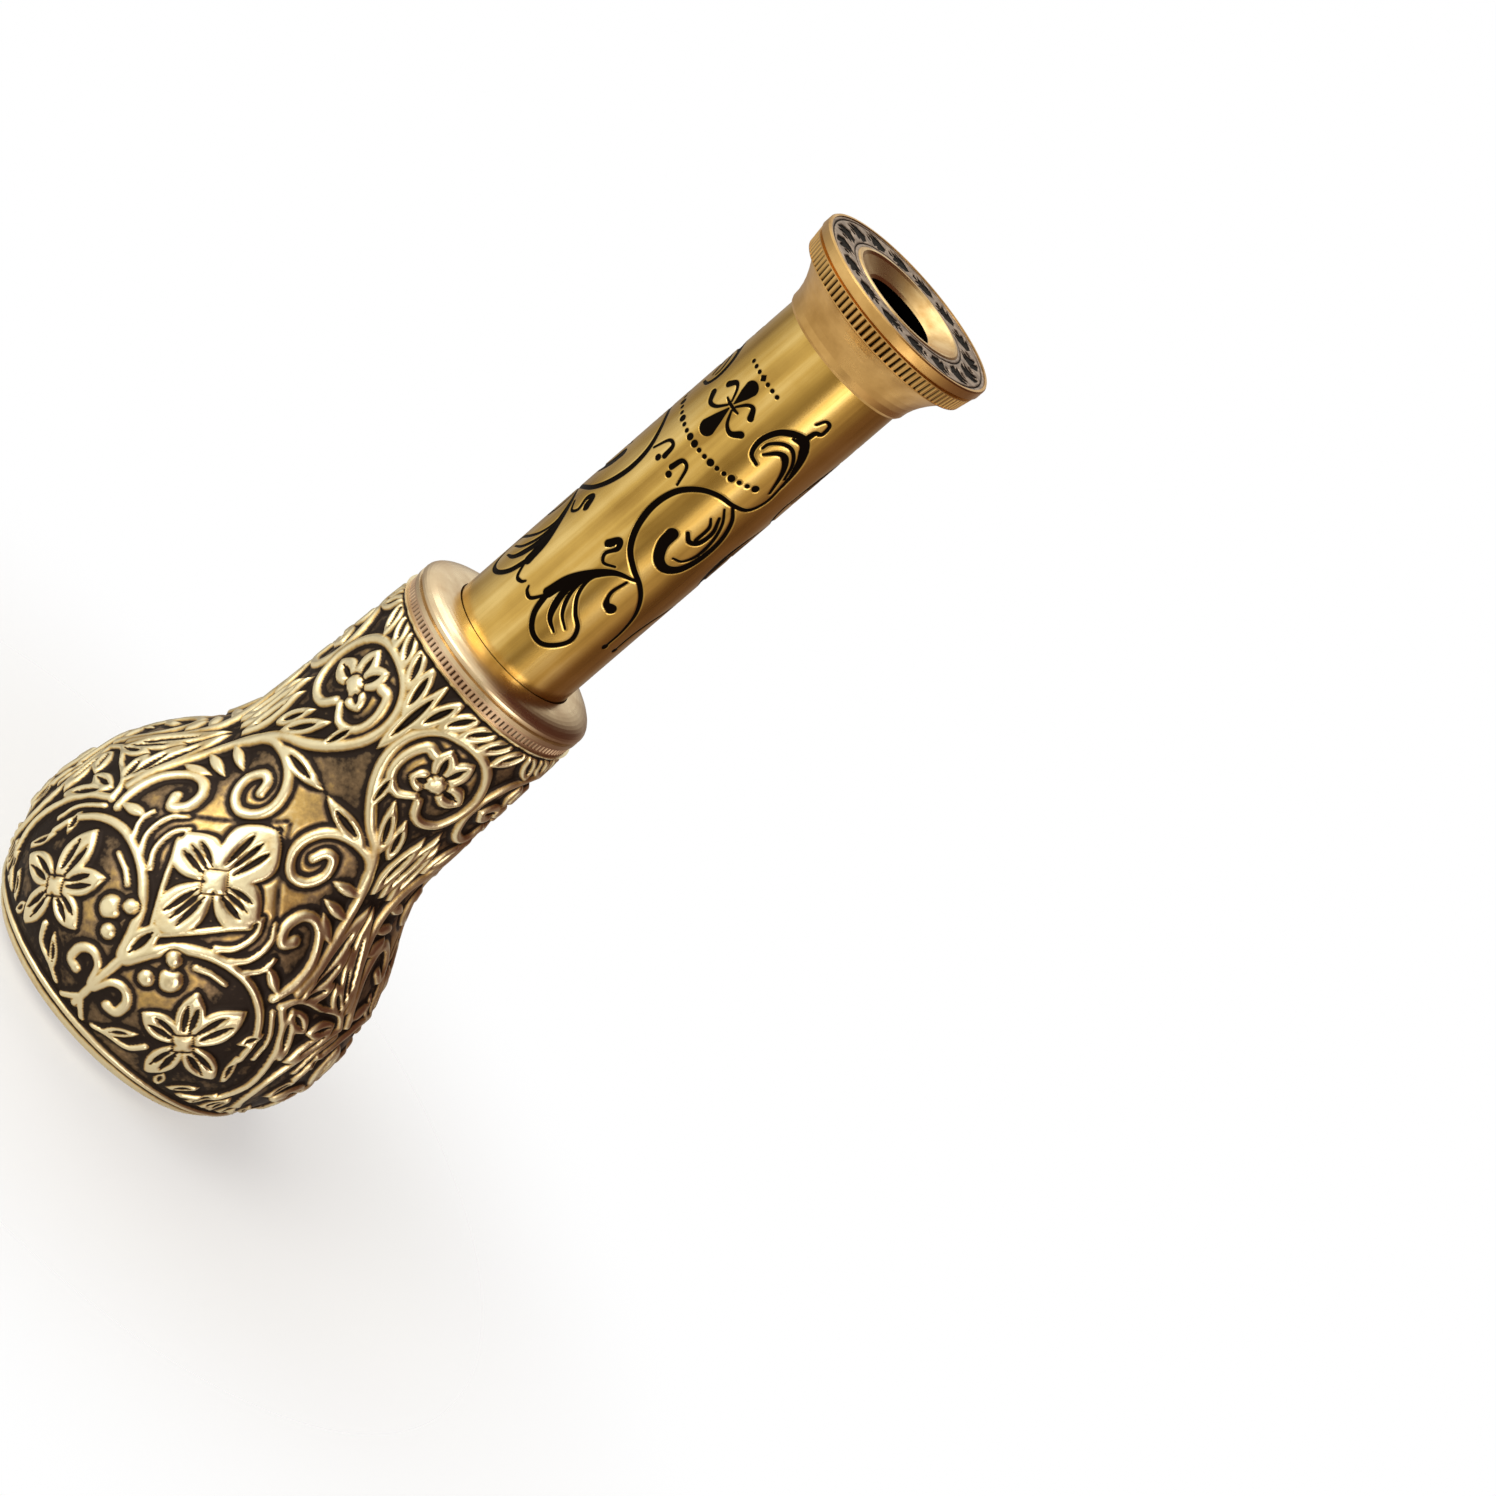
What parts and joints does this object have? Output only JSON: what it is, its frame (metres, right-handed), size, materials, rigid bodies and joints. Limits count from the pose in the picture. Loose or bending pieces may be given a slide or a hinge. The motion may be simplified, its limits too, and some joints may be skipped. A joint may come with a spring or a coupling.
{
  "type": "pocket telescope",
  "caption": "Pear-shaped cast brass pocket telescope with relief scrollwork, one engraved draw tube and a knurled eyepiece cap.",
  "frame": {"origin": "centre of the objective bezel's front face, which the telescope stands on", "axes": "+Z along the optical axis from the objective to the eyepiece; -Y is the side of the casting with its large flower, whose middle is turned about 5 degrees towards -X"},
  "size_m": [0.0556, 0.0556, 0.15],
  "materials": {
    "cast_brass": "cast relief with dark patina in the hollows and rubbed highlights",
    "polished_brass": "turned and polished, antique lacquer",
    "tube_brass": "drawn tube, satin lacquer, engraved lines filled black",
    "dark_brass": "dark antique brown, engraved",
    "black_brass": "matt black lacquer against stray light",
    "lens_glass": "polished optical glass",
    "felt": "felt lining",
    "washer_leather": "thin tanned leather washer"
  },
  "bodies": {
    "body": {"body_casting": "cast_brass", "inner_barrel": "black_brass", "guide_sleeve": "polished_brass", "guide_felt": "felt", "milled_ring": "polished_brass", "neck_collar": "polished_brass", "objective_cell": "black_brass", "objective_seat_washer": "washer_leather", "crown_lens": "lens_glass", "flint_lens": "lens_glass", "objective_lens_ring": "black_brass"},
    "bezel_carriage": {"bezel_washer": "washer_leather"},
    "bezel": {"objective_bezel": "polished_brass"},
    "slider": {"friction_ring": "polished_brass"},
    "draw": {"draw_tube": "tube_brass", "draw_stop": "black_brass", "erector_cell": "black_brass", "erector_lens_front": "lens_glass", "erector_spacer": "black_brass", "erector_lens_rear": "lens_glass", "erector_ring": "black_brass", "glare_stop": "black_brass", "eyepiece_barrel": "black_brass", "field_lens": "lens_glass", "field_lens_ring": "black_brass", "field_stop": "black_brass", "eye_lens": "lens_glass", "eye_lens_ring": "black_brass"},
    "cap_carriage": {"cap_washer": "washer_leather"},
    "cap": {"eyepiece_cap": "polished_brass", "face_plate": "dark_brass", "eye_cup": "polished_brass"}
  },
  "joints": [
    {"name": "draw_slide", "type": "slide", "parent": "body", "child": "slider", "axis": [0, 0, 1], "range_m": [-0.049, 0]},
    {"name": "draw_turn", "type": "hinge", "parent": "slider", "child": "draw", "pos_m": [0, 0, 0.0664], "axis": [0, 0, 1], "continuous": true},
    {"name": "cap_rise", "type": "slide", "parent": "draw", "child": "cap_carriage", "axis": [0, 0, 1], "range_m": [0, 0.00375]},
    {"name": "cap_turn", "type": "hinge", "parent": "cap_carriage", "child": "cap", "pos_m": [0, 0, 0.1438], "axis": [0, 0, 1], "range_deg": [0, 1800]},
    {"name": "bezel_rise", "type": "slide", "parent": "body", "child": "bezel_carriage", "axis": [0, 0, -1], "range_m": [0, 0.003]},
    {"name": "bezel_turn", "type": "hinge", "parent": "bezel_carriage", "child": "bezel", "pos_m": [0, 0, 0.0016], "axis": [0, 0, -1], "range_deg": [0, 1440]}
  ],
  "couplings": [
    {"joint": "cap_rise", "follows": "cap_turn", "m_per_rad": 0.00011937},
    {"joint": "bezel_rise", "follows": "bezel_turn", "m_per_rad": 0.00011937}
  ]
}
